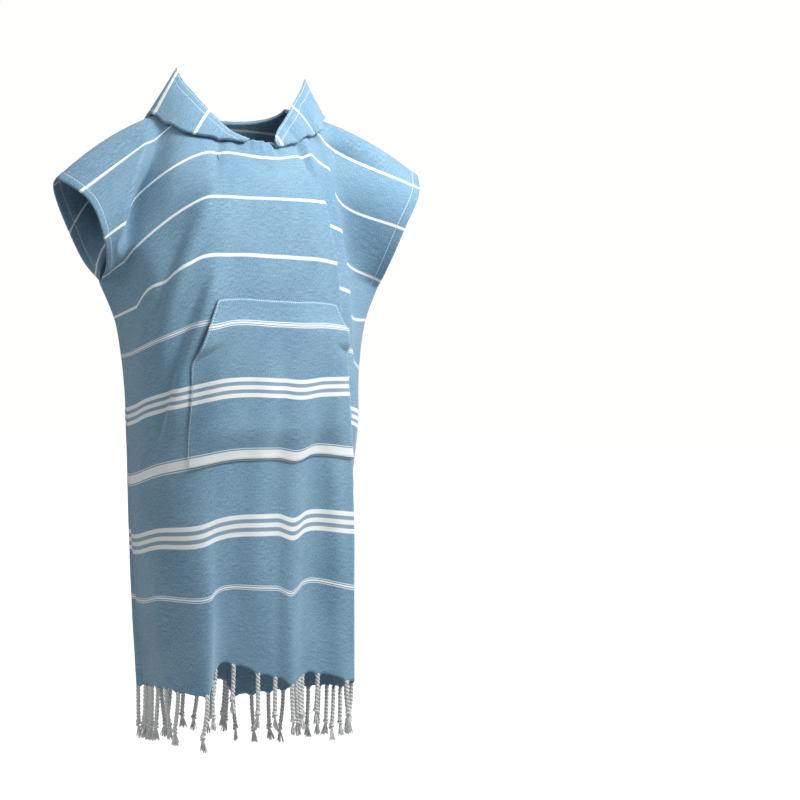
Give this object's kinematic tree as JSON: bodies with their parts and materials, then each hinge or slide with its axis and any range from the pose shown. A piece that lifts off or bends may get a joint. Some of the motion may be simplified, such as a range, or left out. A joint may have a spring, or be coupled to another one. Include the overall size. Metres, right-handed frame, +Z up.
{
  "type": "hooded bath poncho",
  "caption": "Hooded striped cotton poncho with short cut-in sleeves, kangaroo pocket, hood worn down and knotted fringe hems.",
  "frame": {"origin": "middle of the neck, level with the sides of the neck, where the shoulders carry the garment", "axes": "+Z up, -Y towards the front, +X towards the wearer's left"},
  "size_m": [0.7123, 0.3518, 1.216],
  "materials": {
    "cloth": "matt flat-woven blue and white cotton with white woven cross stripes",
    "fringe": "off-white twisted cotton yarn, knotted, with loose brush ends"
  },
  "bodies": {
    "root": {"front_panel": "cloth", "back_panel": "cloth", "pocket": "cloth", "hood_left": "cloth", "hood_right": "cloth", "fringe_front": "fringe", "fringe_back": "fringe"}
  },
  "joints": []
}
